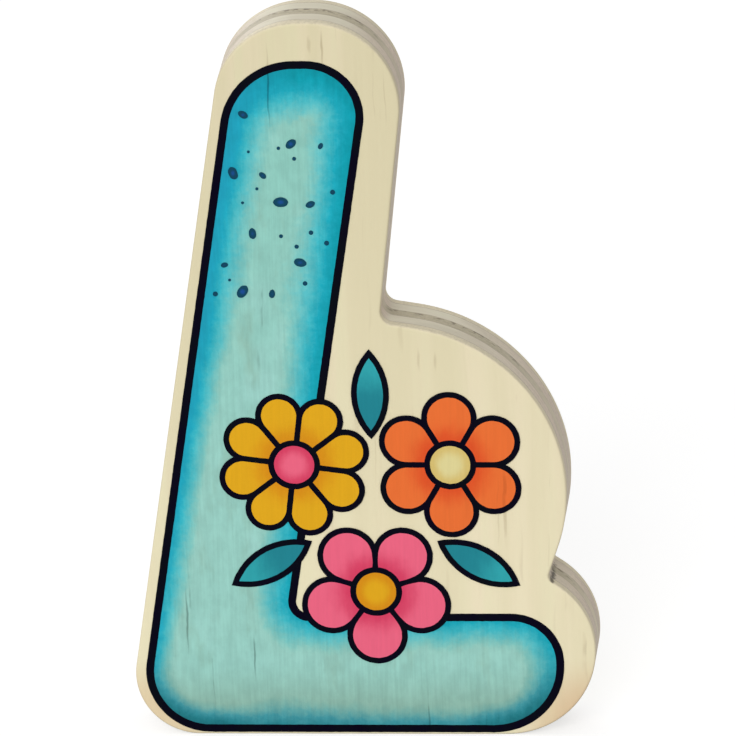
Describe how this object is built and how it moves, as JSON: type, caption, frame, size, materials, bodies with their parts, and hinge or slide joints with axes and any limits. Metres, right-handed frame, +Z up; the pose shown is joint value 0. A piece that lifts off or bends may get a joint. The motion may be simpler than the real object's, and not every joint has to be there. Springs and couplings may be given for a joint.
{
  "type": "wooden letter",
  "caption": "Freestanding toy letter L in plywood, with rounded corners, eased edges, layered veneer edges and a printed front: turquoise letter, speckles and a posy of blossoms.",
  "frame": {"origin": "Middle of the base edge that the letter stands on, half way across the board's thickness.", "axes": "+Z up the stem, +X along the foot from heel to toe, -Y out of the printed face, +Y out of the bare back."},
  "size_m": [0.0552, 0.0092, 0.0897],
  "materials": {
    "face_veneer": "sanded pale veneer, grain upright",
    "cross_band_veneer": "sawn and sanded edge, grain crosswise",
    "core_veneer": "sawn and sanded edge, end grain",
    "glue": "cured wood glue",
    "turquoise_ink": "satin printed ink",
    "black_ink": "satin printed ink",
    "navy_ink": "satin printed ink",
    "teal_ink": "satin printed ink",
    "golden_ink": "satin printed ink",
    "orange_ink": "satin printed ink",
    "pink_ink": "satin printed ink",
    "cream_ink": "satin printed ink"
  },
  "bodies": {
    "root": {"back_face_ply": "face_veneer", "rear_outer_glue_line": "glue", "rear_cross_band": "cross_band_veneer", "rear_inner_glue_line": "glue", "core_ply": "core_veneer", "front_inner_glue_line": "glue", "front_cross_band": "cross_band_veneer", "front_outer_glue_line": "glue", "front_face_ply": "face_veneer", "letter_outline": "black_ink", "letter_fill": "turquoise_ink", "speckle_1": "navy_ink", "speckle_2": "navy_ink", "speckle_3": "navy_ink", "speckle_4": "navy_ink", "speckle_5": "navy_ink", "speckle_6": "navy_ink", "speckle_7": "navy_ink", "speckle_8": "navy_ink", "speckle_9": "navy_ink", "speckle_10": "navy_ink", "speckle_11": "navy_ink", "speckle_12": "navy_ink", "orange_blossom_outline": "black_ink", "orange_blossom_eye": "cream_ink", "orange_blossom_petal_1": "orange_ink", "orange_blossom_petal_2": "orange_ink", "orange_blossom_petal_3": "orange_ink", "orange_blossom_petal_4": "orange_ink", "orange_blossom_petal_5": "orange_ink", "orange_blossom_petal_6": "orange_ink", "golden_blossom_outline": "black_ink", "golden_blossom_eye": "pink_ink", "golden_blossom_petal_1": "golden_ink", "golden_blossom_petal_2": "golden_ink", "golden_blossom_petal_3": "golden_ink", "golden_blossom_petal_4": "golden_ink", "golden_blossom_petal_5": "golden_ink", "golden_blossom_petal_6": "golden_ink", "golden_blossom_petal_7": "golden_ink", "golden_blossom_petal_8": "golden_ink", "pink_blossom_outline": "black_ink", "pink_blossom_eye": "golden_ink", "pink_blossom_petal_1": "pink_ink", "pink_blossom_petal_2": "pink_ink", "pink_blossom_petal_3": "pink_ink", "pink_blossom_petal_4": "pink_ink", "pink_blossom_petal_5": "pink_ink", "leaf_1_outline": "black_ink", "leaf_1": "teal_ink", "leaf_2_outline": "black_ink", "leaf_2": "teal_ink", "leaf_3_outline": "black_ink", "leaf_3": "teal_ink"}
  },
  "joints": []
}
